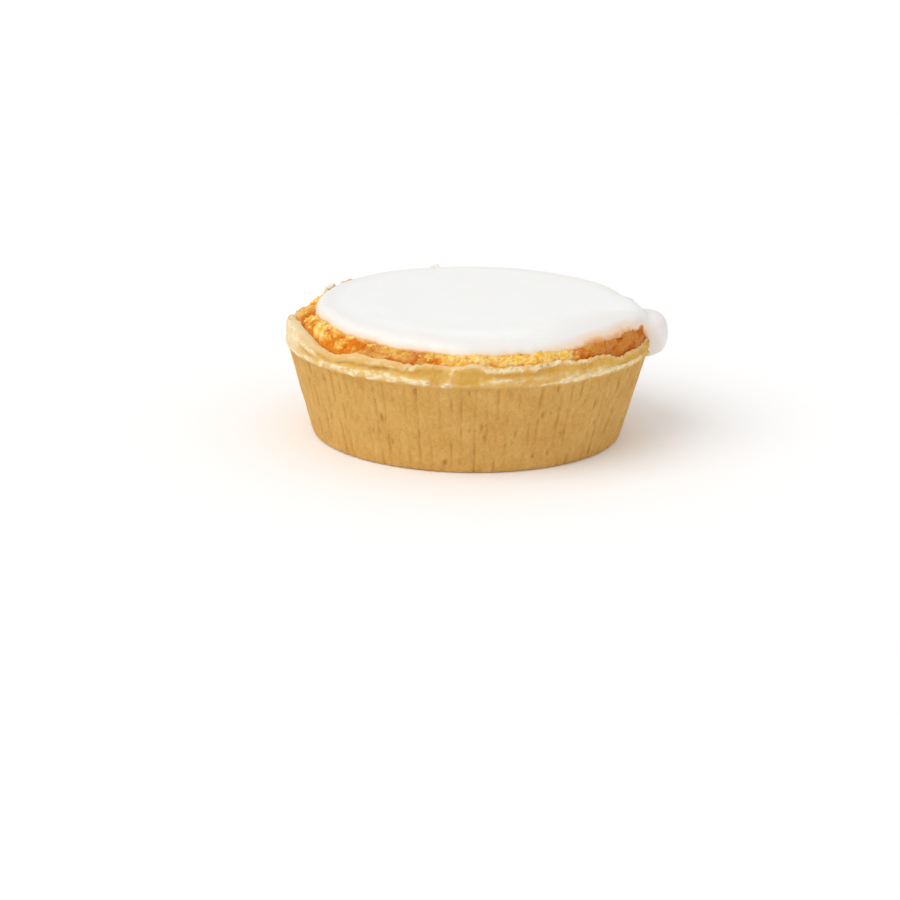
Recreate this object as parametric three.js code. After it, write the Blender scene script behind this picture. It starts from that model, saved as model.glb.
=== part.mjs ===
// A round almond tartlet: a pleated shortcrust cup, an almond filling baked up above its rim,
// and a poured sheet of white icing with one lobe that has run over the rim.
//
// Millimetres, +Z up. The origin is the middle of the flat underside, on the axis of the cup.
// +X is towards the lobe, and -Y is the side that the tartlet is looked at from.

import * as THREE from "three";

// Driving dimensions
const RIM_RADIUS = 35; // the lip, a thin ledge above the pleats
const BASE_RADIUS = 30; // flat underside
const LIP_HEIGHT = 18; // underside to lip
const CREST_RISE = 3.6; // lip to the top edge of the dough
const CREST_INSET = 1.1; // lip inwards to the inner side of that edge
const LEDGE = 0.45; // how far the lip stands out over the pleats
const FLOOR = 2.8; // thickness of the dough under the filling
const WALL = 2.4; // thickness of the dough at the foot of the side
const GAP = 0.35; // between neighbouring pieces

const PLEATS = 100; // pressed into the side by the cup it was baked in
const PLEAT_DEPTH = 0.42;

const FILLING_RISE = 2.6; // crest of the dough to the middle of the filling
const FILLING_FALL = 0.4; // middle of the filling to its shoulder
const CRAG = 0.42; // depth of the cracks in the ring of filling that shows
const SAG = 1.2; // how much lower the shoulder and the icing's edge lie at the front

const ICING_RADIUS = 31.3;
const ICING_SHIFT = 1.8; // the icing was poured off centre, towards +X
const ICING_THICKNESS = 1.35;
const ICING_EDGE = 2.4; // width of its rounded edge

const LOBE_ANGLE = 3.5; // degrees from +X towards +Y
const LOBE_HALF_WIDTH = 14;
const LOBE_RUN = 7.9; // how far it runs on past the edge of the icing
const LOBE_THICKNESS = 2.6;
const ROOT_ANGLE = -8;
const ROOT_RUN = 1.5; // the icing's edge also runs on a little at the front of the lobe
const ROOT_HALF_WIDTH = 15;

const CREST_HEIGHT = LIP_HEIGHT + CREST_RISE;
const CREST_RADIUS = RIM_RADIUS - CREST_INSET;
const FILLING_HEIGHT = CREST_HEIGHT + FILLING_RISE;
const POINTS_PER_PLEAT = 3;
const CRUST_SEGMENTS = PLEATS * POINTS_PER_PLEAT;
const FILLING_SEGMENTS = 160;
const ICING_SEGMENTS = 120;

// A fixed sequence of numbers from 0 to 1, the same on every run.
function seededDraws(seed) {
  let state = seed;
  return () => {
    state = (state * 16807) % 2147483647;
    return state / 2147483647;
  };
}

// A function of the angle round the axis that wanders between about -1 and 1 and closes on itself.
// It is a sum of waves, with from lowest to highest of their crests in a full turn.
function wandering(seed, lowest, highest) {
  const draw = seededDraws(seed);
  const waves = [];
  for (let count = lowest; count <= highest; count++) {
    waves.push({ count, phase: draw() * 2 * Math.PI, size: 0.4 + draw() });
  }
  const scale = 1 / Math.sqrt(waves.length);
  return (angle) =>
    scale * waves.reduce((sum, w) => sum + w.size * Math.cos(w.count * angle + w.phase), 0);
}

// A hump round one angle: 1 in its middle, and a third of that at its half width, in degrees.
function hump(angle, middle, halfWidth, squareness) {
  const from = angle - THREE.MathUtils.degToRad(middle);
  const turn = THREE.MathUtils.radToDeg(Math.atan2(Math.sin(from), Math.cos(from)));
  return Math.exp(-(Math.abs(turn / halfWidth) ** squareness));
}

// Turns a profile into a closed solid and lets place() move each of its points.
// A profile point has a radius r and a height z; place() gives the moved [r, z].
// crowd() may draw the segments together round some angle; without it they are evenly spaced.
function turned(profile, segments, place, crowd = (angle) => angle) {
  const outline = profile.map((point) => new THREE.Vector2(point.r, point.z));
  const geometry = new THREE.LatheGeometry(outline, segments);
  const position = geometry.getAttribute("position");
  for (let i = 0; i < position.count; i++) {
    const point = profile[i % profile.length];
    const step = Math.floor(i / profile.length) % segments;
    const angle = crowd((step / segments) * 2 * Math.PI);
    const [r, z] = place(point, angle, step);
    position.setXYZ(i, r * Math.cos(angle), r * Math.sin(angle), z);
  }
  geometry.setIndex(splitFaces(position, profile.length, segments));
  geometry.deleteAttribute("normal");
  geometry.deleteAttribute("uv");
  return geometry;
}

// Splits each four-sided face along its shorter diagonal, so that slanting edges come out smooth.
function splitFaces(position, rows, segments) {
  const corner = (i) => new THREE.Vector3().fromBufferAttribute(position, i);
  const triangles = [];
  for (let segment = 0; segment < segments; segment++) {
    for (let row = 0; row < rows - 1; row++) {
      const a = segment * rows + row;
      const b = a + rows;
      const c = b + 1;
      const d = a + 1;
      const splitsAtA = corner(a).distanceTo(corner(c)) < corner(b).distanceTo(corner(d));
      triangles.push(...(splitsAtA ? [a, b, c, a, c, d] : [a, b, d, c, d, b]));
    }
  }
  return triangles;
}

function piece(name, geometry, color, roughness) {
  const material = new THREE.MeshStandardMaterial({ color, roughness, metalness: 0 });
  const mesh = new THREE.Mesh(geometry, material);
  mesh.name = name;
  return mesh;
}

// How far the icing reaches from the axis of the cup at each angle, without its lobe.
function icingReach(angle) {
  const across = ICING_SHIFT * Math.sin(angle);
  return ICING_SHIFT * Math.cos(angle) + Math.sqrt(ICING_RADIUS ** 2 - across ** 2);
}

// How much lower the shoulder of the filling and the edge of the icing lie at each angle.
function sag(angle) {
  return SAG * hump(angle, 268, 44, 3);
}

// Flakes of dough and filling that stand up behind the icing at the back on the left.
function flakes(angle) {
  return hump(angle, 132, 3.4, 4) + 0.7 * hump(angle, 141, 2.4, 4);
}

// The crest is higher at the left, and lower at the front left and in front of the lobe.
function crestSwell(angle) {
  const left = 1.1 * hump(angle, 196, 12, 2) - 0.8 * hump(angle, 219, 11, 2);
  return left - 1.4 * hump(angle, 334, 17, 4);
}

// The crust: a flared cup with pleats up to the lip, then a plain band with a shallow groove below
// the crest. At each point of the profile pleat is the share of the pleats' depth, lip and wave are
// the shares of the lip's and the crest's unevenness, and groove is that of the groove's.
function crust() {
  const draw = seededDraws(71);
  const depths = Array.from({ length: PLEATS }, () => PLEAT_DEPTH * (0.6 + 0.8 * draw()));
  const leans = Array.from({ length: PLEATS }, () => 0.3 * PLEAT_DEPTH * draw());
  const crestRise = wandering(5, 6, 30);
  const crestReach = wandering(9, 5, 24);
  const lipReach = wandering(13, 8, 44);
  const grooveDepth = wandering(19, 4, 18);

  const profile = [
    { r: 0, z: 0 },
    { r: BASE_RADIUS - 1, z: 0 },
    { r: BASE_RADIUS, z: 0.9, pleat: 0.8 },
    { r: RIM_RADIUS - LEDGE, z: LIP_HEIGHT - 0.7, pleat: 1 },
    { r: RIM_RADIUS, z: LIP_HEIGHT - 0.15, lip: 1 },
    { r: RIM_RADIUS + 0.15, z: LIP_HEIGHT + 0.5, lip: 0.7 },
    { r: RIM_RADIUS - 0.05, z: LIP_HEIGHT + 0.42 * CREST_RISE, wave: 0.3, groove: 1 },
    { r: RIM_RADIUS + 0.25, z: LIP_HEIGHT + 0.72 * CREST_RISE, wave: 0.6 },
    { r: RIM_RADIUS - 0.15, z: CREST_HEIGHT - 0.35, wave: 0.9 },
    { r: RIM_RADIUS - 0.7, z: CREST_HEIGHT, wave: 1 },
    { r: CREST_RADIUS, z: CREST_HEIGHT - 0.3, wave: 0.8 },
    { r: CREST_RADIUS - 0.2, z: CREST_HEIGHT - 1, wave: 0.2 },
    { r: BASE_RADIUS - WALL, z: FLOOR },
    { r: 0, z: FLOOR },
  ];
  return turned(profile, CRUST_SEGMENTS, (point, angle, step) => {
    const { pleat = 0, lip = 0, wave = 0, groove = 0 } = point;
    const nth = Math.floor(step / POINTS_PER_PLEAT);
    const cut = [0, leans[nth], depths[nth]][step % POINTS_PER_PLEAT];
    const inward = pleat * cut + groove * (0.25 + 0.2 * grooveDepth(angle));
    const outward = 0.16 * (lip * lipReach(angle) + wave * crestReach(angle));
    const upward = wave * (0.28 * crestRise(angle) + crestSwell(angle) + 1.5 * flakes(angle));
    return [point.r - inward + outward, point.z + upward];
  });
}

// The filling: it fills the cup and rises from the crest to the icing in a ring of cracked crumbs.
// A point on that slope says how far up it is (climb, 0 to 1) and which set of cracks it takes.
function filling() {
  const cracks = [3, 17, 29, 43].map((seed) => wandering(seed, 16, 60));
  const flakeCuts = wandering(51, 20, 60);
  const foot = { r: CREST_RADIUS - 0.2 - GAP - 0.15, z: CREST_HEIGHT - 1 };
  const profile = [
    { r: 0, z: FLOOR + GAP },
    { r: BASE_RADIUS - WALL - GAP - 0.15, z: FLOOR + GAP },
    { ...foot },
    { ...foot, climb: 0.2, crack: 0 },
    { ...foot, climb: 0.45, crack: 1 },
    { ...foot, climb: 0.7, crack: 2 },
    { ...foot, climb: 1, crack: 3 },
    { r: 26, z: FILLING_HEIGHT - 0.6 * FILLING_FALL },
    { r: 0, z: FILLING_HEIGHT },
  ];
  return turned(profile, FILLING_SEGMENTS, (point, angle) => {
    if (point.climb === undefined) return [point.r, point.z];
    const shoulder = icingReach(angle) - 0.6;
    const top = FILLING_HEIGHT - FILLING_FALL - 0.1 - sag(angle);
    const bulge = Math.sin(point.climb * Math.PI) * 0.35;
    const depth = CRAG * Math.abs(cracks[point.crack](angle)) * (1.25 - point.climb);
    const r = THREE.MathUtils.lerp(foot.r, shoulder, point.climb) + bulge;
    const z = THREE.MathUtils.lerp(foot.z, top, point.climb ** 0.8) + bulge;
    const up = (1 - point.climb) * flakes(angle) * (1.6 + 0.5 * flakeCuts(angle));
    return [Math.min(r, foot.r) - 0.4 * depth, z - depth + up];
  });
}

// The way that the underside of the icing takes from the axis outwards, over the filling and the
// crest and down the outside of the crust: a point and its outward normal for each distance.
function icingBed() {
  const top = FILLING_HEIGHT + GAP;
  const bend = RIM_RADIUS - 2.6;
  const outside = RIM_RADIUS + 0.3 + GAP + 0.4;
  const start = new THREE.Vector2(0, top);
  const shoulder = new THREE.Vector2(bend, top - FILLING_FALL);
  const side = new THREE.Vector2(outside, CREST_HEIGHT - 1.2);
  const hanging = new THREE.Vector2(outside - 0.2, LIP_HEIGHT - 8);
  const bed = new THREE.CurvePath();
  bed.add(new THREE.QuadraticBezierCurve(start, new THREE.Vector2(bend / 2, top), shoulder));
  bed.add(new THREE.QuadraticBezierCurve(shoulder, new THREE.Vector2(outside - 0.2, top - 0.9), side));
  bed.add(new THREE.LineCurve(side, hanging));
  const length = bed.getLength();
  return (distance) => {
    const share = THREE.MathUtils.clamp(distance / length, 0, 1);
    const point = bed.getPoint(share);
    const along = bed.getTangent(share);
    return { point, normal: new THREE.Vector2(-along.y, along.x) };
  };
}

// The icing: a sheet laid along that bed, rounded at its edge, and carried on at the lobe.
// A point of its profile lies some inset in from the edge; the last two lie a share of the way
// from the axis to the innermost one. The lobe carries the points near the edge the furthest.
function icing() {
  const bed = icingBed();
  const wobble = wandering(37, 4, 16);
  const lobe = (angle) => hump(angle, LOBE_ANGLE, LOBE_HALF_WIDTH, 5);
  const root = (angle) => hump(angle, ROOT_ANGLE, ROOT_HALF_WIDTH, 4);

  const insets = [0, 0.25, 0.8, 1.8, 3.2, 5, 7.5, 10.5, 14];
  const innermost = insets[insets.length - 1];
  const inwards = [
    ...insets.map((inset) => ({ inset, share: 1 })),
    { inset: innermost, share: 0.5 },
    { inset: innermost, share: 0 },
  ];
  const outwards = inwards.slice(2).reverse();
  const profile = [
    ...outwards.map((point) => ({ ...point, top: 0 })),
    ...inwards.map((point) => ({ ...point, top: 1 })),
  ];
  // The lathe only joins the points in this order; their radius and height come from the bed.
  profile.forEach((point, i) => Object.assign(point, { r: point.share, z: i }));

  return turned(profile, ICING_SEGMENTS, (point, angle) => {
    if (point.share === 0) return [0, FILLING_HEIGHT + GAP + point.top * ICING_THICKNESS];
    const run = LOBE_RUN * lobe(angle) + ROOT_RUN * root(angle);
    const edge = icingReach(angle) + 0.16 * wobble(angle) + run;
    const carry = run * (1 - (1 - point.inset / innermost) ** 1.5);
    const distance = (edge - carry - point.inset) * point.share;
    const { point: at, normal } = bed(distance);
    const lower = sag(angle) * THREE.MathUtils.smoothstep(distance, 23, RIM_RADIUS - 2.5);
    const over = THREE.MathUtils.smoothstep(distance, RIM_RADIUS - 4, RIM_RADIUS + 3);
    const full = THREE.MathUtils.lerp(ICING_THICKNESS, LOBE_THICKNESS, over * lobe(angle));
    const rounding = 1 - Math.min((edge - distance) / ICING_EDGE, 1);
    const lift = point.top * full * Math.sqrt(1 - rounding ** 2);
    return [at.x + normal.x * lift, at.y + normal.y * lift - lower];
  }, (angle) => THREE.MathUtils.degToRad(LOBE_ANGLE) + angle - 0.6 * Math.sin(angle));
}

const tartlet = new THREE.Group();
tartlet.name = "almond_tartlet";
tartlet.add(piece("crust", crust(), 0xc9a05a, 0.85));
tartlet.add(piece("almond_filling", filling(), 0xe39a35, 0.75));
tartlet.add(piece("icing", icing(), 0xf3f1ee, 0.45));

export default tartlet;
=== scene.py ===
import math

import bmesh
import bpy
import numpy as np
from mathutils import Euler, Matrix, Vector, noise


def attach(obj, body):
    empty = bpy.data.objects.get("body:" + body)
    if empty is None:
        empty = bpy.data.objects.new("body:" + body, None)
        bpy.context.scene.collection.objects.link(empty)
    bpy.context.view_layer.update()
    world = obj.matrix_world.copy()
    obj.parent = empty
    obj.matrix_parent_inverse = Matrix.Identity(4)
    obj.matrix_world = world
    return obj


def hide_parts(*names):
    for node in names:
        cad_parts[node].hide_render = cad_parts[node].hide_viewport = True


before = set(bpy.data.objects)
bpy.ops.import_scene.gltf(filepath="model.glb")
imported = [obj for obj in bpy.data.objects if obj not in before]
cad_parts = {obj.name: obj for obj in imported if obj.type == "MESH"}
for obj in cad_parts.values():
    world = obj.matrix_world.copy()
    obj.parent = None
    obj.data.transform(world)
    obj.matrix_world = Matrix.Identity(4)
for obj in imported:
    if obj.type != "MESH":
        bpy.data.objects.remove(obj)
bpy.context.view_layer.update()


# The crust. Shortcrust dough pressed into a fluted cup and baked in it, so its side has fine
# pleats with a few air holes, and above them stands a plain band with a broken, crumbly edge.
# It is baked a pale gold. It is painted lighter as a painted highlight on its crest, lip and raised
# folds, and on its dry crumbly edges, and browner as painted shade in its grooves and pleats.

MM = 0.001  # in metres: every size and place on the tartlet itself is in millimetres
FULL_TURN = 2 * math.pi

RIM_RADIUS = 35.0
BASE_RADIUS = 30.0
LIP_HEIGHT = 18.0
CREST_RISE = 3.6
CREST_HEIGHT = LIP_HEIGHT + CREST_RISE
CREST_RADIUS = RIM_RADIUS - 1.1
LEDGE = 0.45
FLOOR_THICKNESS = 2.8
WALL_THICKNESS = 2.4
PLEATS = 100
PLEAT_DEPTH = 0.42
AIR_HOLES = 110
FOLDS_BY_LOT = 26
ROUGHEST_REACH = 0.41
CRUST_COLUMNS = 900
OUTSIDE_ROWS = 84


def seeded_draws(seed):
    """A fixed sequence of numbers from 0 to 1."""
    state = seed
    while True:
        state = state * 16807 % 2147483647
        yield state / 2147483647


def wandering(seed, lowest, highest):
    """A function of the angle round the axis that wanders between about -1 and 1 and closes."""
    draw = seeded_draws(seed)
    waves = [(n, next(draw) * FULL_TURN, 0.4 + next(draw)) for n in range(lowest, highest + 1)]
    counts, phases, sizes = (np.array(column) for column in zip(*waves))

    def at(angle):
        return (sizes * np.cos(counts * angle[..., None] + phases)).sum(-1) / len(waves) ** 0.5

    return at


def turn_from(angle, degrees):
    """How far each angle is from the given one, in degrees, from -180 to 180."""
    return (np.degrees(angle) - degrees + 180) % 360 - 180


def hump(angle, degrees, half_width, squareness=2):
    """1 at the given angle, falling to 0 on either side; the squarer, the flatter its top."""
    return np.exp(-np.abs(turn_from(angle, degrees) / half_width) ** squareness)


def smooth(low, high, value):
    """0 up to low, 1 from high on, and an even rise between them."""
    share = np.clip((value - low) / (high - low), 0, 1)
    return share * share * (3 - 2 * share)


def grain(points, size, octaves=3, seed=0):
    """Soft noise from about -1 to 1 at each point, with grains of about that size."""
    offset = Vector((13.1 * seed, -7.7 * seed, 5.3 * seed))
    flat = points.reshape(-1, 3) / size
    values = [noise.fractal(Vector(p) + offset, 0.7, 2.1, octaves) for p in flat]
    return np.array(values).reshape(points.shape[:-1])


def lumps(points, size, seed=0):
    """Round lumps of about that size that touch: how high each point is on its lump, 0 to 1."""
    lump_radius = 1.05
    offset = Vector((9.7 * seed, 4.9 * seed, -3.1 * seed))
    near = [noise.voronoi(Vector(p) + offset)[0][0] for p in points.reshape(-1, 3) / size]
    height = np.sqrt(np.clip(1 - (np.array(near) / lump_radius) ** 2, 0, 1))
    return height.reshape(points.shape[:-1])


def along_profile(corners, steps):
    """Points along a smooth curve through the corners, with that many steps in each stretch."""
    corners = np.array(corners, float)
    gaps = np.hypot(*np.diff(corners, axis=0).T)
    lean = np.gradient(corners, np.concatenate([[0], np.cumsum(gaps)]), axis=0)
    path = []
    for i, count in enumerate(steps):
        t = np.arange(count)[:, None] / count
        start = (1 + 2 * t) * (1 - t) ** 2 * corners[i] + t * (1 - t) ** 2 * gaps[i] * lean[i]
        end = t**2 * (3 - 2 * t) * corners[i + 1] - t**2 * (1 - t) * gaps[i] * lean[i + 1]
        path.append(start + end)
    return np.concatenate([*path, corners[-1:]])


def turned_points(radius, height, angle):
    """Points at these distances from the axis, heights and angles round it."""
    radius, height, angle = np.broadcast_arrays(radius, height, angle)
    return np.stack([radius * np.cos(angle), radius * np.sin(angle), height], axis=-1)


def linked(piece):
    bpy.context.collection.objects.link(piece)
    return piece


def skin(name, points, shades, first_point, last_point):
    """A closed mesh over rows of points round the axis, closed by a point at either end.
    points is in millimetres; shades are named numbers at each point, for the material."""
    rows, columns, _ = points.shape
    vertices = np.concatenate([points.reshape(-1, 3), [first_point, last_point]]) * MM
    faces = []
    for row in range(rows - 1):
        for column in range(columns):
            after = (column + 1) % columns
            low, high = row * columns, (row + 1) * columns
            faces.append((low + column, low + after, high + after, high + column))
    first, last, top = rows * columns, rows * columns + 1, (rows - 1) * columns
    for column in range(columns):
        after = (column + 1) % columns
        faces.append((first, after, column))
        faces.append((last, top + column, top + after))
    mesh = bpy.data.meshes.new(name)
    mesh.from_pydata(vertices.tolist(), [], faces)
    mesh.shade_smooth()
    for shade, values in shades.items():
        attribute = mesh.attributes.new(shade, "FLOAT", "POINT")
        flat = np.concatenate([values.reshape(-1), [values[0].mean(), values[-1].mean()]])
        attribute.data.foreach_set("value", flat.astype(np.float32))
    return linked(bpy.data.objects.new(name, mesh))


class Finish:
    """A material and short ways to lay out its nodes."""

    def __init__(self, name, **settings):
        self.material = bpy.data.materials.new(name)
        self.material.use_nodes = True
        self.nodes = self.material.node_tree.nodes
        self.links = self.material.node_tree.links
        self.shader = self.nodes["Principled BSDF"]
        for setting, value in settings.items():
            socket = setting.replace("_", " ").title().replace("Ior", "IOR")
            self.shader.inputs[socket].default_value = value

    def node(self, kind, inputs=None, **options):
        made = self.nodes.new(kind)
        for option, value in options.items():
            setattr(made, option, value)
        for socket, value in (inputs or {}).items():
            if isinstance(value, bpy.types.NodeSocket):
                self.links.new(value, made.inputs[socket])
            else:
                made.inputs[socket].default_value = value
        return made

    def shade(self, name):
        """The named number that the mesh holds at each point."""
        return self.node("ShaderNodeAttribute", attribute_name=name).outputs["Fac"]

    def specks(self, size, detail=3.0, roughness=0.55, stretch=1.0):
        """Noise with grains of that size in millimetres, drawn out upwards by stretch."""
        place = self.node("ShaderNodeTexCoord").outputs["Object"]
        drawn = self.node("ShaderNodeMapping", {"Vector": place, "Scale": (1, 1, 1 / stretch)})
        return self.node(
            "ShaderNodeTexNoise",
            {
                "Vector": drawn.outputs["Vector"],
                "Scale": 1 / (size * MM),
                "Detail": detail,
                "Roughness": roughness,
            },
        ).outputs["Fac"]

    def within(self, value, low, high, to_low=0.0, to_high=1.0):
        """The value's place between low and high, as a number from to_low to to_high."""
        return self.node(
            "ShaderNodeMapRange",
            {"Value": value, "From Min": low, "From Max": high, "To Min": to_low, "To Max": to_high},
        ).outputs["Result"]

    def mixed(self, share, below, above):
        """The colour below where share is 0 and the colour above where it is 1."""
        made = self.node("ShaderNodeMix", {0: share}, data_type="RGBA")
        for slot, colour in ((6, below), (7, above)):
            if isinstance(colour, bpy.types.NodeSocket):
                self.links.new(colour, made.inputs[slot])
            else:
                made.inputs[slot].default_value = (*colour, 1)
        return made.outputs[2]

    def maths(self, operation, a, b):
        return self.node("ShaderNodeMath", {0: a, 1: b}, operation=operation).outputs[0]

    def colour(self, socket):
        self.links.new(socket, self.shader.inputs["Base Color"])

    def relief(self, height, depth, over=None):
        """Relief of that depth in millimetres, laid over another relief."""
        inputs = {"Height": height, "Strength": 1.0, "Distance": depth * MM}
        if over:
            inputs["Normal"] = over
        return self.node("ShaderNodeBump", inputs).outputs["Normal"]

    def surface(self, relief):
        self.links.new(relief, self.shader.inputs["Normal"])


def rgb(red, green, blue):
    """A colour as a screen shows it, 0 to 255, turned into the light that it stands for."""
    shown = (red / 255, green / 255, blue / 255)
    return tuple(c / 12.92 if c <= 0.04045 else ((c + 0.055) / 1.055) ** 2.4 for c in shown)


crest_rise = wandering(5, 6, 30)
crest_reach = wandering(9, 5, 24)
lip_reach = wandering(13, 8, 44)
fold_bend = wandering(23, 20, 70)
crest_break = wandering(29, 60, 160)


def flakes(angle):
    """Flakes of dough and filling that stand up at the back on the left."""
    return 1.35 * hump(angle, 134.5, 3.8, 4) + 0.6 * hump(angle, 142, 2.4, 4)


def broad_crest(angle):
    """How much further in the flat top of the crest reaches: it is broad at the left."""
    return 1.5 * hump(angle, 198, 22, 4)


def crest_swell(angle):
    """The crest is higher at the left, and lower beside that, in front of the lobe and under it."""
    left = 0.9 * hump(angle, 197, 12) - 0.8 * hump(angle, 219, 11) - 1.2 * hump(angle, 157, 21, 3)
    return left - 1.4 * hump(angle, 334, 17, 4) - 0.8 * hump(angle, 3, 8, 4)


def fold(angle, height, start, end, width):
    """1 along a fold of the band from start to end (degrees, height), fading to 0 beside it."""
    arc = math.radians(1) * RIM_RADIUS
    across, above = turn_from(angle, start[0]) * arc, height - start[1]
    run, climb = (end[0] - start[0]) * arc, end[1] - start[1]
    share = np.clip((across * run + above * climb) / (run**2 + climb**2), 0, 1)
    return np.exp(-((across - share * run) ** 2 + (above - share * climb) ** 2) / width**2)


def band_folds():
    """The folds of the band: its two ends, width, rise, how pale and how torn it is; the paleness is a
    painted highlight on folds that rise.
    At the front they lie as on the real one; the rest of the way round they are drawn by lot."""
    folds = [
        ((230, 20.8), (246, 20.9), 0.42, 0.22, 0.4, 0.3),
        ((247, 20.6), (254, 21.0), 0.40, 0.14, 0.5, 0.4),
        ((226, 19.9), (245, 19.9), 0.34, -0.26, 0.0, 0.0),
        ((241, 19.9), (262, 20.4), 0.50, -0.20, 0.0, 0.0),
        ((219, 18.9), (226, 18.5), 0.45, 0.20, 0.9, 0.8),
        ((225, 18.8), (233, 18.2), 0.50, 0.25, 1.1, 1.0),
        ((233, 18.5), (246, 18.9), 0.55, 0.28, 1.1, 0.9),
        ((239, 18.0), (249, 18.4), 0.40, 0.22, 1.0, 1.0),
        ((247, 18.9), (258, 18.2), 0.45, 0.22, 0.9, 0.8),
        ((254, 18.4), (259, 17.6), 0.40, 0.20, 0.9, 0.8),
        ((260, 17.4), (265, 18.0), 0.45, 0.28, 1.1, 1.0),
        ((264.3, 18.6), (265.4, 21.0), 0.32, 0.20, 0.7, 0.0),
        ((266, 21.6), (275, 21.3), 0.42, 0.20, 0.8, 0.1),
        ((268, 20.2), (296, 20.0), 0.55, -0.14, 0.0, 0.0),
        ((276, 21.1), (286, 21.1), 0.45, 0.24, 1.6, 0.5),
        ((274, 18.7), (284, 18.9), 0.45, 0.08, 0.5, 0.1),
        ((278, 19.0), (318, 19.3), 0.60, 0.12, 0.4, 0.0),
        ((287, 17.5), (301, 17.9), 0.26, 0.18, 1.0, 0.2),
        ((299, 18.0), (322, 18.7), 0.45, 0.18, 1.9, 0.3),
        ((322, 18.4), (338, 18.4), 0.40, 0.14, 1.4, 0.4),
        ((289, 21.3), (300, 21.5), 0.55, 0.22, 1.0, 0.9),
        ((301, 21.4), (310, 21.5), 0.45, 0.18, 1.0, 0.9),
        ((197, 21.4), (213, 18.9), 0.50, -0.18, 0.0, 0.0),
        ((205, 21.6), (222, 19.8), 0.60, -0.12, 0.0, 0.0),
        ((203, 20.6), (216, 20.2), 0.50, 0.14, 1.0, 0.2),
        ((194, 17.7), (206, 17.9), 0.34, 0.16, 1.1, 0.4),
        ((210, 18.3), (219, 18.0), 0.34, 0.16, 1.0, 0.6),
        ((184, 19.2), (203, 20.2), 0.70, 0.14, 0.9, 0.0),
        ((182, 21.2), (200, 21.6), 0.50, 0.12, 1.2, 0.1),
    ]
    draw = seeded_draws(83)
    for nth in range(FOLDS_BY_LOT):
        start = 345 + 7.4 * nth + 5 * next(draw)
        height = 18.1 + 3.2 * next(draw)
        end = start + 6 + 16 * next(draw)
        rises = next(draw) > 0.45
        slope = 1.2 * (next(draw) - 0.5)
        width = 0.3 + 0.3 * next(draw)
        size = 0.15 + 0.2 * next(draw)
        rise = size if rises else -size
        paleness = 0.9 * rises
        folds.append(((start, height), (end, height + slope), width, rise, paleness, next(draw)))
    return folds


def air_holes(angle, height):
    """Small holes in the side where air was caught between the dough and the cup."""
    depth = 0
    draw = seeded_draws(97)
    for _ in range(AIR_HOLES):
        degrees, level = 360 * next(draw), 1.5 + 16 * next(draw)
        size = 0.15 + 0.26 * next(draw) ** 2
        across = turn_from(angle, degrees) * math.radians(1) * RIM_RADIUS
        away = np.hypot(across, (height - level) / (1.2 + 1.6 * next(draw))) / size
        depth = depth + (0.25 + 0.7 * size) * np.exp(-(away**3))
    return depth


def crust_rows():
    """The profile from the underside up over the crest: radius and height."""
    lean = (RIM_RADIUS - LEDGE - BASE_RADIUS) / (LIP_HEIGHT - 1.6)

    def side(height):
        return (BASE_RADIUS + lean * (height - 0.9), height)

    corners = [
        (0.6, 0), (BASE_RADIUS - 1.3, 0), (BASE_RADIUS - 0.35, 0.25), side(1.1), side(2.1),
        side(LIP_HEIGHT - 2.2), side(LIP_HEIGHT - 0.9), (RIM_RADIUS - 0.1, LIP_HEIGHT - 0.2),
        (RIM_RADIUS, LIP_HEIGHT + 0.35), (RIM_RADIUS - 0.1, LIP_HEIGHT + 0.42 * CREST_RISE),
        (RIM_RADIUS - 0.02, LIP_HEIGHT + 0.72 * CREST_RISE), (RIM_RADIUS - 0.2, CREST_HEIGHT - 0.35),
        (RIM_RADIUS - 0.7, CREST_HEIGHT), (CREST_RADIUS, CREST_HEIGHT - 0.35),
        (CREST_RADIUS - 0.2, CREST_HEIGHT - 1.1), (BASE_RADIUS - WALL_THICKNESS, FLOOR_THICKNESS),
    ]
    return along_profile(corners, [2, 3, 3, 3, 30, 4, 6, 5, 9, 8, 7, 6, 6, 4, 2])


def pleated(plain, angle, height):
    """How deep the pleats and air holes of the side are cut at each point, and how much painted shade
    darkens them.
    """
    draw = seeded_draws(71)
    depths = np.array([PLEAT_DEPTH * (0.5 + 0.9 * next(draw)) for _ in range(PLEATS)])
    shifts = np.array([0.30 * (next(draw) - 0.5) for _ in range(PLEATS)])
    place = angle / FULL_TURN * PLEATS
    nth, across = np.floor(place).astype(int) % PLEATS, place % 1
    valley = np.exp(-(((across - 0.6 - shifts[nth]) / 0.11) ** 2))
    shows = smooth(-0.35, 0.5, grain(plain * np.array([1, 1, 0.45]), 2.2, 3, 3))
    pleats = 0.6 * depths[nth] * valley * shows
    pleats = pleats + 0.06 * (0.5 - 0.5 * np.cos((across - 0.1) * FULL_TURN))
    scratches = grain(plain * np.array([1, 1, 0.2]), 0.8, 2, 7)
    holes = air_holes(angle, height)
    cut = pleats + 0.05 * scratches + 0.8 * holes
    # Painted shade: darker in the pleat valleys, the scratches and the air holes.
    groove_shade = 0.36 * valley * shows * depths[nth] / PLEAT_DEPTH + 1.2 * holes
    return cut, groove_shade + 0.2 * np.maximum(scratches, 0)


def folded(plain, angle, height, band):
    """How far the folds of the band stand out, how pale they are (a painted highlight where they rise),
    and how torn they are.
    """
    bent = height + 0.05 * fold_bend(angle) + 0.22 * grain(plain, 3.5, 2, 23)
    bent = bent + 0.06 * grain(plain, 0.8, 2, 26)
    rise, pale, torn = 0, 0, 0
    for start, end, width, size, paleness, tearing in band_folds():
        share = fold(angle, bent, start, end, width) * band
        rise = rise + size * share
        pale = pale + paleness * share
        torn = torn + tearing * share
    return rise, pale, torn


def front_flap(angle, height, band):
    """A flap of dough that ends in an upright tear at the front and thins out to the right."""
    flap = smooth(264.0, 265.3, np.degrees(angle)) * (1 - smooth(270, 294, np.degrees(angle)))
    return flap * smooth(18.2, 19.0, height) * band * 0.38


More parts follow.
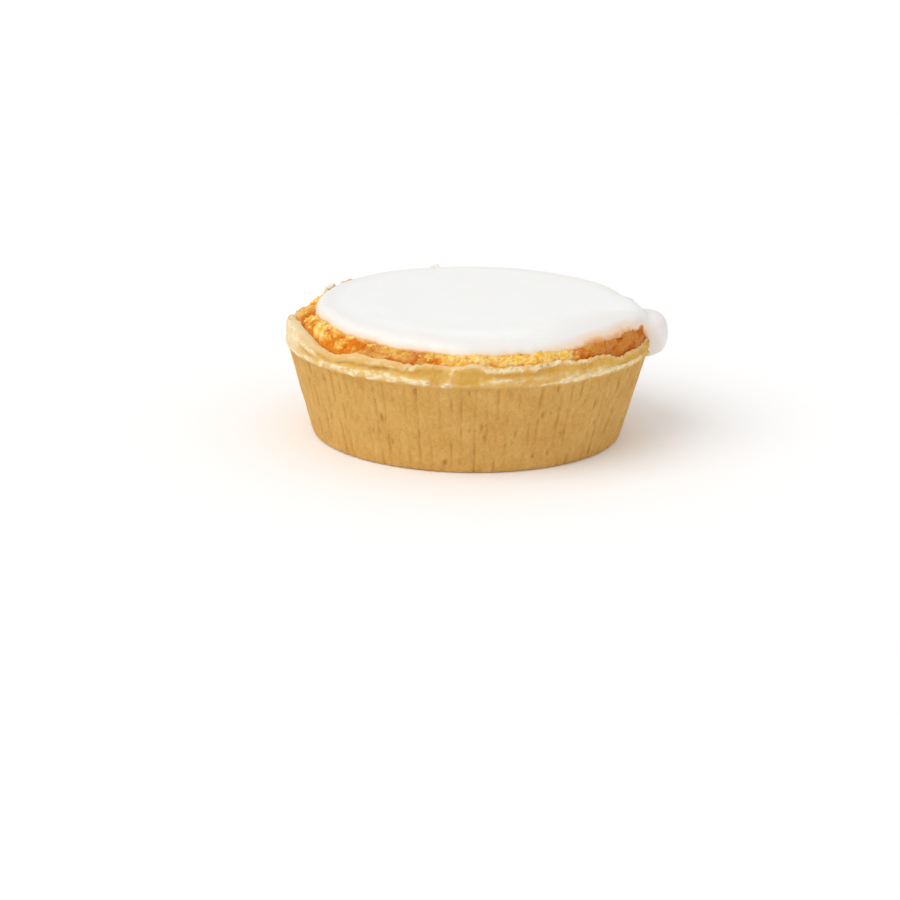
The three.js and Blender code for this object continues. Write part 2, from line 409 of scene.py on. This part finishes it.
def held_in(reach):
    """The same reach, but the roughest places bend back before they pass the rim."""
    limit = RIM_RADIUS - 0.2
    beyond = ROUGHEST_REACH * np.tanh((reach - limit) / ROUGHEST_REACH)
    return np.where(reach > limit, limit + beyond, reach)


def crust_points():
    """Where the skin of the crust lies, and at each point how pale it is (a painted highlight on crest,
    lip and raised folds, and paler dry crumb on torn edges), how much painted shade darkens it, and how
    creamy it is.
    """
    profile = crust_rows()
    radius, height = profile[:, 0:1], profile[:, 1:2]
    angle = np.arange(CRUST_COLUMNS)[None, :] / CRUST_COLUMNS * FULL_TURN
    plain = turned_points(radius, height, angle)

    # Where each part of the crust is: its side, its lip, its crest and the band between them.
    on_outside = (np.arange(len(profile)) < OUTSIDE_ROWS)[:, None]
    below_lip = 1 - smooth(LIP_HEIGHT - 0.9, LIP_HEIGHT - 0.2, height)
    side = smooth(-0.3, 0.5, height) * below_lip * on_outside
    lip = np.exp(-(((height - LIP_HEIGHT - 0.1) / 0.4) ** 2)) * on_outside
    wave = smooth(LIP_HEIGHT + 0.3, CREST_HEIGHT - 0.3, height)
    wave = wave * smooth(CREST_RADIUS - 0.6, CREST_RADIUS, radius)
    left = hump(angle, 190, 24, 4)
    above_side = smooth(LIP_HEIGHT - 0.7, LIP_HEIGHT, height)
    band = above_side * on_outside

    # What roughens it: the cuts in the side, the folds of the band, and the crumbs that torn
    # folds break up into.
    cut, cut_shade = pleated(plain, angle, height)
    sandy = grain(plain, 0.9, 3, 8)
    rise, pale, torn = folded(plain, angle, height, band)
    torn = np.clip(torn + 0.3 * (lip + wave) * (0.5 + grain(plain, 4.0, 1, 21)), 0, 1)
    scales = smooth(-0.06, 0.10, grain(plain * np.array([1, 1, 1.7]), 1.5, 3, 24))
    broken = 0.55 * (scales - 0.5) + 0.5 * (lumps(plain, 0.7, 5) - 0.75)

    outward = 0.16 * (lip * lip_reach(angle) + wave * crest_reach(angle))
    rough = (0.05 + 0.07 * above_side) * sandy + 0.13 * above_side * grain(plain, 2.2, 2, 27)
    outward = outward + 0.85 * rise + front_flap(angle, height, band)
    outward = outward + rough * (height > 0.1) + 0.5 * torn * broken
    standing = 1.6 * flakes(angle) * (1 + 0.1 * sandy)
    upward = wave * (0.28 * crest_rise(angle) + crest_swell(angle) + standing)
    ragged = 0.6 * torn * broken + 0.08 * sandy + 0.08 * crest_break(angle)
    upward = upward + wave * ragged * (1 - 0.7 * left)
    inside = 1 - smooth(CREST_RADIUS - 0.1, RIM_RADIUS - 0.2, radius)
    inside = inside * smooth(LIP_HEIGHT, CREST_HEIGHT - 1.2, height)
    inward = side * cut + inside * broad_crest(angle)
    points = turned_points(held_in(radius - inward + outward), height + upward, angle)
    points[..., 2] = np.maximum(points[..., 2], 0)

    # Painted highlight: paler on the crest, along the lip and on raised folds. The torn crumbly edges
    # are paler dry dough.
    crest = np.exp(-(((height - CREST_HEIGHT) / 0.5) ** 2)) * (height > LIP_HEIGHT)
    lip_highlight = 0.4 * lip * (0.4 + 0.5 * grain(plain, 2.5, 2, 22))
    pale = pale * (0.45 + 0.75 * scales) + 0.35 * crest + lip_highlight + 0.8 * torn * broken
    # Painted shade: darker in the cuts of the side and in the grooves between the folds of the band.
    groove_shade = side * cut_shade + 1.6 * np.maximum(-rise, 0)
    # Less cream along one fold at the left, a painted shade in that fold.
    cream = above_side * left * (1 - 0.5 * fold(angle, height, (203, 19.6), (218, 18.8), 0.9))
    streaks = smooth(-0.5, 0.6, grain(plain * np.array([1, 1, 2.5]), 3.0, 3, 25))
    cream = cream + 0.22 * above_side * hump(angle, 225, 45, 4) * streaks
    return points, {
        "pale": np.clip(pale, 0, 1),
        "groove_shade": np.clip(groove_shade, 0, 1),
        "band": above_side + 0 * angle,
        "cream": cream,
    }


def dough_finish():
    """Pale golden dough: streaked and sandy on the side, smoother on the band, pale where dry and where
    a highlight is painted, and browner where shade is painted.
    """
    gold, light_gold = rgb(208, 158, 80), rgb(221, 176, 100)
    streak, sand = rgb(186, 134, 60), rgb(234, 194, 122)
    band_gold, band_light_gold = rgb(217, 164, 68), rgb(230, 184, 92)
    cream, speck = rgb(237, 214, 164), rgb(192, 140, 68)
    groove_shade_colour, dry_edge_and_highlight = rgb(186, 130, 54), rgb(252, 232, 192)

    dough = Finish("baked_dough", roughness=0.82, specular_ior_level=0.25, subsurface_weight=0.15)
    dough.shader.inputs["Subsurface Scale"].default_value = 0.8 * MM
    side = dough.mixed(dough.within(dough.specks(5.0, 3.0, 0.6), 0.32, 0.68), gold, light_gold)
    streaks = dough.within(dough.specks(0.8, 4.0, 0.65, 2.5), 0.45, 0.75, 0.0, 0.4)
    grains = dough.within(dough.specks(0.5, 4.0, 0.7), 0.48, 0.72, 0.0, 0.45)
    sandy = dough.mixed(grains, dough.mixed(streaks, side, streak), sand)
    band = dough.mixed(dough.within(dough.specks(3.0), 0.3, 0.7), band_gold, band_light_gold)
    golden = dough.mixed(dough.shade("band"), sandy, band)
    creamy = dough.mixed(dough.maths("MULTIPLY", dough.shade("cream"), 0.85), golden, cream)
    spots = dough.within(dough.specks(0.6, 4.0), 0.55, 0.75, 0.0, 0.4)
    # Painted shade: darker in the grooves, pleats and air holes.
    groove_shaded = dough.mixed(dough.shade("groove_shade"), dough.mixed(spots, creamy, speck), groove_shade_colour)
    uneven = dough.within(dough.specks(0.8), 0.3, 0.6, 0.6, 1.0)
    # Paler on dry torn edges, and a painted highlight on the crest, the lip and the raised folds.
    dry_and_highlight = dough.maths("MULTIPLY", dough.shade("pale"), uneven)
    dough.colour(dough.mixed(dry_and_highlight, groove_shaded, dry_edge_and_highlight))
    fine = dough.relief(dough.specks(0.4, 4.0, 0.7), 0.16)
    dough.surface(dough.relief(dough.specks(1.5), 0.25, fine))
    return dough.material


DOUGH = dough_finish()
crust_at, crust_shades = crust_points()
crust = skin("crust_dough", crust_at, crust_shades, (0, 0, 0), (0, 0, FLOOR_THICKNESS))
crust.data.materials.append(DOUGH)
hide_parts("crust")
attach(crust, "root")


# The almond filling. A paste of ground almonds, sugar, butter and egg that fills the crust and has
# risen above it, so between the crust and the icing it shows as a ring of moist orange-gold crumbs.

ICING_RADIUS = 31.3
ICING_SHIFT = 1.8
FILLING_HEIGHT = CREST_HEIGHT + 2.6
FILLING_FALL = 0.4
SAG = 1.2
CHUNK_SIZE = 3.6
CRUMB_SIZE = 1.5
GRAIN_SIZE = 0.8
MEAN_LUMP = 0.84
COVERED_RADIUS = 26.5
FILLING_COLUMNS = 1200
FILLING_CLIMB = 44


def icing_reach(angle):
    """How far the icing reaches from the axis at each angle, without its lobe."""
    across = ICING_SHIFT * np.sin(angle)
    return ICING_SHIFT * np.cos(angle) + np.sqrt(ICING_RADIUS**2 - across**2)


def sag(angle):
    """How much lower the shoulder of the filling and the edge of the icing lie at each angle."""
    return SAG * hump(angle, 268, 44, 3)


def filling_slope(angle, climb):
    """Radius and height of the ring that shows, from its foot (climb 0) to under the icing (1)."""
    beside_lobe = hump(angle, 346, 11, 4)
    under_lobe = hump(angle, 358, 7, 4)
    at_left = hump(angle, 198, 25, 4)
    foot_radius = CREST_RADIUS - 0.2 - broad_crest(angle) + 0.5 * beside_lobe
    foot_height = CREST_HEIGHT - 0.6 + 0.9 * crest_swell(angle)
    foot_height = foot_height + 0.2 * beside_lobe + 0.3 * at_left + 1.3 * under_lobe
    shoulder = icing_reach(angle) - 0.7 + 0.9 * beside_lobe
    top = FILLING_HEIGHT - FILLING_FALL - sag(angle)
    bulge = np.sin(climb * math.pi) * 0.3
    radius = foot_radius + (shoulder - foot_radius) * climb + bulge
    height = foot_height + (top - foot_height) * climb**0.8 + bulge
    return np.minimum(radius, foot_radius + 0.3), height


def filling_points():
    """Where the skin of the filling lies, how deep each point is, and how much darker it is painted: in
    patches, and most at the right, where it is painted shade under the icing.
    """
    angle = np.arange(FILLING_COLUMNS)[None, :] / FILLING_COLUMNS * FULL_TURN
    climb = np.linspace(0, 1, FILLING_CLIMB)[:, None]
    radius, height = filling_slope(angle, climb)
    plain = turned_points(radius, height, angle)

    # The paste breaks up into chunks, these into crumbs, and these into grains. It is smeared
    # smooth at the right, and pressed flat under the lobe.
    flattened = plain * np.array([1, 1, 1.5])
    chunks = lumps(flattened + 1.4 * grain(plain, 2.6, 3, 13)[..., None], CHUNK_SIZE, 1) - MEAN_LUMP
    crumbs = lumps(flattened + 0.7 * grain(plain, 0.9, 3, 14)[..., None], CRUMB_SIZE, 2) - MEAN_LUMP
    pitted = lumps(plain + 0.3 * grain(plain, 0.5, 2, 17)[..., None], GRAIN_SIZE, 3) - 0.8
    grains = grain(plain, 0.6, 3, 11) + 2.5 * pitted
    drift = grain(plain, 6.0, 2, 12)
    tone = grain(plain * np.array([1, 1, 1.4]), 3.2, 2, 16)
    smeared = hump(angle, 326, 24, 4)
    pressed = hump(angle, 2, 12, 8)
    standing = (1.7 * chunks + 1.0 * crumbs) * (1 - 0.6 * smeared)
    standing = standing + 0.21 * grains + 0.25 * drift + 0.25 * tone
    standing = standing * smooth(1.0, 0.85, climb) * smooth(-0.05, 0.12, climb)
    standing = standing * (1 - pressed) - 0.3 * pressed
    lift = flakes(angle) * (1 - climb) * 0.6
    ring = turned_points(radius + 0.5 * standing, height + 0.8 * standing + lift, angle)

    on_floor = turned_points(BASE_RADIUS - WALL_THICKNESS + 0.1, FLOOR_THICKNESS, angle)
    on_wall = turned_points(CREST_RADIUS - 1.4, CREST_HEIGHT - 3.6, angle)
    cover = turned_points(COVERED_RADIUS, FILLING_HEIGHT - 0.6 * FILLING_FALL, angle)
    points = np.concatenate([on_floor, on_wall, ring, cover])

    # Painted shade: a darker orange in the hollows between lumps and at the foot of the ring against
    # the crest, with random orange patches from tone.
    foot = 0.35 * smooth(0.3, 0.0, climb) * (1 + tone)
    deep = np.clip(0.47 - 2.4 * chunks - 1.2 * crumbs - 0.2 * grains - 0.9 * tone + foot, 0, 1)
    around = np.ones((1, FILLING_COLUMNS))
    deep = np.concatenate([around, around, deep, around])
    # Darker at the right, a painted shade under the icing's overhang, and in patches at the front left,
    # at the left and at random.
    dark_patches_and_shade = hump(angle, 331, 24, 6) + 0.7 * hump(angle, 252, 8) + 0.8 * hump(angle, 236, 6)
    seeping = smooth(0.1, 0.6, grain(turned_points(30, 0, angle), 8.0, 2, 15))
    dark_patches_and_shade = dark_patches_and_shade + 0.7 * hump(angle, 186, 7) + 0.3 * seeping
    return points, {"deep": deep, "dark_patches_and_shade": np.clip(dark_patches_and_shade, 0, 1) + 0 * deep}


def paste_finish():
    """Baked almond paste: yellow and pale on its high places, orange in its hollows as painted shade,
    and darker in patches and under the icing at the right, where it is painted shade.
    """
    gold, yellow, pale_almond = rgb(244, 178, 52), rgb(253, 206, 88), rgb(255, 228, 154)
    orange, dark_patch_orange = rgb(227, 128, 0), rgb(194, 94, 0)

    paste = Finish("almond_paste", roughness=0.55, specular_ior_level=0.12, subsurface_weight=0.15)
    paste.shader.inputs["Subsurface Scale"].default_value = 1.0 * MM
    paste.shader.inputs["Subsurface Radius"].default_value = (1.0, 0.5, 0.2)
    warm = paste.mixed(paste.within(paste.specks(2.2), 0.32, 0.68), gold, yellow)
    grains = paste.within(paste.specks(1.0, 4.0, 0.65), 0.42, 0.62, 0.0, 0.9)
    # Darker orange in the hollows, a painted shade, with random orange patches.
    hollows = paste.within(paste.shade("deep"), 0.25, 0.9, 0.0, 0.95)
    deep = paste.mixed(hollows, paste.mixed(grains, warm, pale_almond), orange)
    # Painted shade under the icing at the right, and darker orange patches elsewhere.
    paste.colour(paste.mixed(paste.maths("MULTIPLY", paste.shade("dark_patches_and_shade"), 0.75), deep, dark_patch_orange))
    paste.surface(paste.relief(paste.specks(0.5, 3.0, 0.6), 0.14))
    return paste.material


PASTE = paste_finish()
filling_at, filling_shades = filling_points()
filling_foot, filling_top = (0, 0, FLOOR_THICKNESS), (0, 0, FILLING_HEIGHT)
filling = skin("filling_paste", filling_at, filling_shades, filling_foot, filling_top)
filling.data.materials.append(PASTE)
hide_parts("almond_filling")
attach(filling, "root")


# The icing. White sugar icing poured on while it ran, so it lies flat, thins out at its edge until
# the filling shines through, and has run over the rim at one side, where it hangs as a thick lobe.

ICING_THICKNESS = 1.7
ICING_EDGE = 2.8
LOBE_DEGREES = 2
LOBE_HALF_WIDTH = 12.5
LOBE_RUN = 7.3
LOBE_THICKNESS = 3.2
ROOT_DEGREES = -8
ROOT_RUN = 1.5
ROOT_HALF_WIDTH = 15
VALLEY_DEPTH = 1.15
VALLEY_DISTANCE = 34.2
EDGE_STRIP = 14
ICING_COLUMNS = 720


def icing_bed():
    """Radius, height and outward normal of the icing's underside, by the way gone from the axis."""
    top, bend, outside = FILLING_HEIGHT, RIM_RADIUS - 2.6, RIM_RADIUS + 0.2
    t = np.linspace(0, 1, 200)[:, None]

    def curve(a, b, c):
        return (1 - t) ** 2 * np.array(a) + 2 * t * (1 - t) * np.array(b) + t**2 * np.array(c)

    shoulder, beside_crest = (bend, top - FILLING_FALL), (outside, CREST_HEIGHT - 1.0)
    path = np.concatenate([
        curve((0, top), (bend / 2, top), shoulder),
        curve(shoulder, (outside - 0.3, top - 1.2), beside_crest)[1:],
        curve(beside_crest, (outside, LIP_HEIGHT), (outside - 0.6, LIP_HEIGHT - 8))[1:],
    ])
    steps = np.hypot(*np.diff(path, axis=0).T)
    gone = np.concatenate([[0], np.cumsum(steps)])
    along = np.gradient(path, gone, axis=0)

    def at(distance):
        r, z, dr, dz = (np.interp(distance, gone, column) for column in (*path.T, *along.T))
        return r, z, -dz, dr

    return at


def icing_points():
    """Where the skin of the icing lies, how far in from its edge, and how far on the lobe."""
    even = np.arange(ICING_COLUMNS)[None, :] / ICING_COLUMNS * FULL_TURN
    angle = math.radians(LOBE_DEGREES) + even - 0.7 * np.sin(even)
    lobe = hump(angle, LOBE_DEGREES, LOBE_HALF_WIDTH, 5)
    run = LOBE_RUN * lobe + ROOT_RUN * hump(angle, ROOT_DEGREES, ROOT_HALF_WIDTH, 4)
    ragged = 0.16 * wandering(37, 4, 16)(angle) + 0.05 * wandering(41, 30, 90)(angle) * (1 - lobe)
    back = 0.6 * hump(angle, 95, 50, 4)
    edge = icing_reach(angle) + ragged + run + back
    bed = icing_bed()

    # Rows of points from the edge inwards, closest together at the edge.
    rounded, strip = np.linspace(0, 1, 14) ** 1.6, np.linspace(1.15, 5, 22)
    inset = np.concatenate([rounded, strip, np.linspace(5.5, EDGE_STRIP, 16)])[:, None]
    carry = run * (1 - np.maximum(1 - inset / EDGE_STRIP, 0) ** 1.5)
    distance = edge - carry - inset
    inner = distance[-1:] * np.linspace(0.93, 0.04, 14)[:, None]
    top_distance = np.concatenate([distance, inner])
    under_distance = np.concatenate([inner[::-3], distance[::-3]])

    def thickness(distance, hanging):
        """Thicker where it hangs as the lobe, with a shallow valley where the lobe leaves the sheet."""
        full = ICING_THICKNESS + (LOBE_THICKNESS - ICING_THICKNESS) * hanging
        width = np.where(distance < VALLEY_DISTANCE, 1.7, 0.9)
        valley = np.exp(-(((distance - VALLEY_DISTANCE) / width) ** 2))
        return full - VALLEY_DEPTH * valley * smooth(0.0, 0.5, lobe)

    def laid(distance, top):
        """Points of the underside (top 0) or of the upper side (top 1)."""
        r, z, nr, nz = bed(distance)
        from_edge = edge - distance
        hanging = smooth(RIM_RADIUS - 1.0, RIM_RADIUS + 1.2, distance) * lobe
        rounding = 1 - np.clip(from_edge / (ICING_EDGE + 1.6 * hanging), 0, 1)
        outside = smooth(RIM_RADIUS - 2.6, RIM_RADIUS - 0.8, distance)
        sunk = 0.05 + 0.8 * smooth(1.6, 0, from_edge) * outside
        swell = (1 - rounding**2) ** (0.75 - 0.25 * hanging)
        lift = top * thickness(distance, hanging) * swell - sunk
        lower = sag(angle) * smooth(23, RIM_RADIUS - 2.5, distance)
        lower = lower + 0.42 * smooth(1.8, 0, from_edge) * (1 - lobe)
        lower = lower + 0.7 * hump(angle, 14, 9) * smooth(28, 32.5, distance)
        return turned_points(r + nr * lift, z + nz * lift - lower, angle)

    points = np.concatenate([laid(under_distance, 0), laid(top_distance, 1)])
    from_edge = np.concatenate([0 * under_distance, edge - top_distance])
    from_edge = from_edge * (1 - 0.55 * hump(angle, 326, 26, 4))
    all_distance = np.concatenate([under_distance, top_distance])
    on_lobe = smooth(RIM_RADIUS - 2.2, RIM_RADIUS - 0.6, all_distance) * smooth(0.05, 0.5, lobe)
    return points, {"from_edge": from_edge, "on_lobe": on_lobe}


def icing_finish():
    """Satin white sugar, painted a little greyer as painted shade near its rounded edge and on the
    lobe, and orange near its edge where the filling glows through it.
    """
    white, bright_white, edge_shade_white = rgb(248, 247, 244), rgb(251, 251, 249), rgb(239, 235, 230)
    glow, faint_glow, lobe_shade_white = rgb(232, 158, 84), rgb(248, 214, 178), rgb(240, 235, 232)

    icing = Finish("sugar_icing", roughness=0.36, specular_ior_level=0.4, subsurface_weight=0.25)
    icing.shader.inputs["Subsurface Scale"].default_value = 1.2 * MM
    thick = icing.mixed(icing.within(icing.specks(12.0, 2.0), 0.3, 0.7), white, bright_white)
    # Painted shade: a little greyer within a few millimetres of the edge, where it rolls over.
    inner = icing.mixed(icing.within(icing.shade("from_edge"), 1.0, 6.0), edge_shade_white, thick)
    uneven = icing.within(icing.specks(4.0, 2.0), 0.3, 0.7, -0.15, 0.15)
    thin = icing.maths("ADD", icing.shade("from_edge"), uneven)
    glowing = icing.mixed(icing.within(thin, 0.0, 0.35), glow, faint_glow)
    sheet = icing.mixed(icing.within(thin, 0.15, 0.9), glowing, inner)
    # The lobe is painted greyer, a painted shade on the icing's right end where it hangs over the rim.
    icing.colour(icing.mixed(icing.shade("on_lobe"), sheet, lobe_shade_white))
    icing.surface(icing.relief(icing.specks(9.0, 1.0), 0.2))
    return icing.material


icing_at, icing_shades = icing_points()
icing_under, icing_top = (0, 0, FILLING_HEIGHT), (0, 0, FILLING_HEIGHT + ICING_THICKNESS)
icing = skin("icing_sheet", icing_at, icing_shades, icing_under, icing_top)
icing.data.materials.append(icing_finish())
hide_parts("icing")
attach(icing, "root")


# Loose crumbs. Bits of filling and of dough that broke off as the tartlet was turned out of its
# cup. They stick to the ring of filling, the torn edges of the crust, its crest at the back left
# and the icing beside that.

FILLING_CRUMBS = 130
SMEARED_DEGREES = 328
SMEARED_HALF_WIDTH = 26
LOWEST_RING_ROW = 5
TORN_CRUMBS = 90
LOWEST_BAND_ROW = 46
BAND_ROWS = 40
HEAPED_CRUMBS = 16


def crumb_mesh(name, spots, seed, shades):
    """One mesh of many irregular crumbs: each spot has a place in millimetres and a size.
    shades are named numbers for the material, the same on all of them."""
    draw = seeded_draws(seed)
    mesh = bpy.data.meshes.new(name)
    heap = bmesh.new()
    for place, size in spots:
        made = bmesh.ops.create_icosphere(heap, subdivisions=2, radius=1)["verts"]
        turn = Euler([FULL_TURN * next(draw) for _ in range(3)]).to_matrix()
        shape = Vector([0.75 + 0.5 * next(draw) for _ in range(3)])
        offset = Vector([50 * next(draw) for _ in range(3)])
        for vertex in made:
            swell = 1 + 0.55 * noise.fractal(vertex.co * 1.1 + offset, 0.8, 2.1, 3)
            vertex.co = (Vector(place) + turn @ (vertex.co * swell * shape) * size) * MM
    heap.to_mesh(mesh)
    heap.free()
    for shade, value in shades.items():
        attribute = mesh.attributes.new(shade, "FLOAT", "POINT")
        attribute.data.foreach_set("value", [value] * len(mesh.vertices))
    mesh.shade_smooth()
    return linked(bpy.data.objects.new(name, mesh))


def filling_spots():
    """Crumbs of filling, most of them on the lower half of the ring, none where it is smeared."""
    draw = seeded_draws(103)
    spots = []
    while len(spots) < FILLING_CRUMBS:
        column = int(next(draw) * FILLING_COLUMNS)
        row = LOWEST_RING_ROW + int(next(draw) * FILLING_CLIMB * 0.7)
        size = 0.25 + 0.45 * next(draw) ** 2
        x, y, z = filling_at[row, column]
        inwards = Vector((-x / CREST_RADIUS, -y / CREST_RADIUS, -0.6)) * 0.65 * size
        if abs(column / FILLING_COLUMNS * 360 - SMEARED_DEGREES) > SMEARED_HALF_WIDTH:
            spots.append((Vector((x, y, z)) + inwards, size))
    return spots


def dough_spots():
    """Crumbs of dough on the torn folds, and one that sticks to the side under the lobe."""
    draw = seeded_draws(107)
    spots = []
    pale = crust_shades["pale"]
    while len(spots) < TORN_CRUMBS:
        column = int(next(draw) * CRUST_COLUMNS)
        row = LOWEST_BAND_ROW + int(next(draw) * BAND_ROWS)
        size = 0.14 + 0.24 * next(draw) ** 2
        if pale[row, column] > 0.6 + 0.4 * next(draw):
            spots.append((crust_at[row, column] * np.array([0.995, 0.995, 1]), size))
    spots.append((turned_points(34.6, 16.9, math.radians(352)), 0.5))
    return spots


def dry_spots():
    """Dry crumbs heaped on the crest at the back left, and two on the edge of the icing."""
    draw = seeded_draws(127)
    spots = []
    for _ in range(HEAPED_CRUMBS):
        angle = math.radians(140.5 + 7.5 * next(draw))
        above = 0.1 + 1.3 * next(draw) ** 1.5
        radius = 34.2 + 0.5 * (next(draw) - 0.5)
        spots.append((turned_points(radius, CREST_HEIGHT + above, angle), 0.4 + 0.25 * next(draw)))
    spots.append((turned_points(30.6, 25.35, math.radians(102)), 0.5))
    spots.append((turned_points(30.7, 25.1, math.radians(104)), 0.4))
    return spots


filling_crumbs = crumb_mesh("filling_crumbs", filling_spots(), 109, {"deep": 0.3, "dark_patches_and_shade": 0.1})
filling_crumbs.data.materials.append(PASTE)
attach(filling_crumbs, "root")

dough_crumbs = crumb_mesh("dough_crumbs", dough_spots(), 113, {"band": 1.0, "pale": 0.7})
dough_crumbs.data.materials.append(DOUGH)
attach(dough_crumbs, "root")

dry_crumb = Finish("dry_crumb", roughness=0.9, specular_ior_level=0.2)
dry_crumb.shader.inputs["Base Color"].default_value = (*rgb(244, 239, 222), 1)
dry_crumbs = crumb_mesh("dry_crumbs", dry_spots(), 131, {})
dry_crumbs.data.materials.append(dry_crumb.material)
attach(dry_crumbs, "root")


# The table and its light. A plain white painted board that the tartlet stands on, under the even
# light of a white studio, with one large soft lamp above it on the left.

TABLE_HALF_WIDTH = 3.0
LAMP_PLACE = (-0.6, -0.42, 0.85)
LAMP_AIM = (0, 0, 0.015)
LAMP_STRENGTH = 1.25
LAMP_SOFTNESS = 55
STUDIO_STRENGTH = 0.72


def floor_piece():
    mesh = bpy.data.meshes.new("floor")
    half = TABLE_HALF_WIDTH
    corners = [(-half, -half, 0), (half, -half, 0), (half, half, 0), (-half, half, 0)]
    mesh.from_pydata(corners, [], [(0, 1, 2, 3)])
    white = Finish("white_table", roughness=0.9)
    white.shader.inputs["Base Color"].default_value = (0.95, 0.95, 0.95, 1)
    white.shader.inputs["Emission Color"].default_value = (1, 1, 1, 1)
    white.shader.inputs["Emission Strength"].default_value = 0.06
    mesh.materials.append(white.material)
    return linked(bpy.data.objects.new("floor", mesh))


floor = floor_piece()

light = bpy.data.lights.new("key_lamp", "SUN")
light.energy = LAMP_STRENGTH
light.angle = math.radians(LAMP_SOFTNESS)
key_lamp = linked(bpy.data.objects.new("key_lamp", light))
key_lamp.location = LAMP_PLACE
lamp_view = Vector(LAMP_AIM) - Vector(LAMP_PLACE)
key_lamp.rotation_euler = lamp_view.to_track_quat("-Z", "Y").to_euler()

world = bpy.data.worlds.new("studio")
world.use_nodes = True
studio = world.node_tree.nodes["Background"]
studio.inputs["Color"].default_value = (1, 1, 1, 1)
studio.inputs["Strength"].default_value = STUDIO_STRENGTH
scene = bpy.context.scene
scene.world = world
scene.view_settings.view_transform = "Standard"
scene.view_settings.look = "None"


# The camera. It stands in front of the tartlet and looks down on it a little, leaning slightly to
# one side. The tartlet's base stands a little to the right of the middle of the frame, and above it.

CAMERA_DISTANCE = 0.5
CAMERA_ELEVATION = math.radians(16.8)
CAMERA_ROLL = math.radians(1.04)
SENSOR_WIDTH = 36
FRAME_PIXELS = 900
FRAME_WIDTH = 0.1751
BASE_RIGHT_OF_CENTRE, BASE_ABOVE_CENTRE = 16.1, 21.9

camera_data = bpy.data.cameras.new("camera")
camera_data.sensor_width = SENSOR_WIDTH
camera_data.lens = SENSOR_WIDTH * CAMERA_DISTANCE / FRAME_WIDTH
camera_data.clip_start = 0.01
camera = linked(bpy.data.objects.new("camera", camera_data))
forward = Vector((0, math.cos(CAMERA_ELEVATION), -math.sin(CAMERA_ELEVATION)))
level = Vector((1, 0, 0))
upright = Vector((0, math.sin(CAMERA_ELEVATION), math.cos(CAMERA_ELEVATION)))
right = math.cos(CAMERA_ROLL) * level + math.sin(CAMERA_ROLL) * upright
up = -math.sin(CAMERA_ROLL) * level + math.cos(CAMERA_ROLL) * upright
pixel = FRAME_WIDTH / FRAME_PIXELS
beside = -right * BASE_RIGHT_OF_CENTRE * pixel - up * BASE_ABOVE_CENTRE * pixel
facing = Matrix((right, up, -forward)).transposed().to_4x4()
camera.matrix_world = Matrix.Translation(-forward * CAMERA_DISTANCE + beside) @ facing
scene.camera = camera
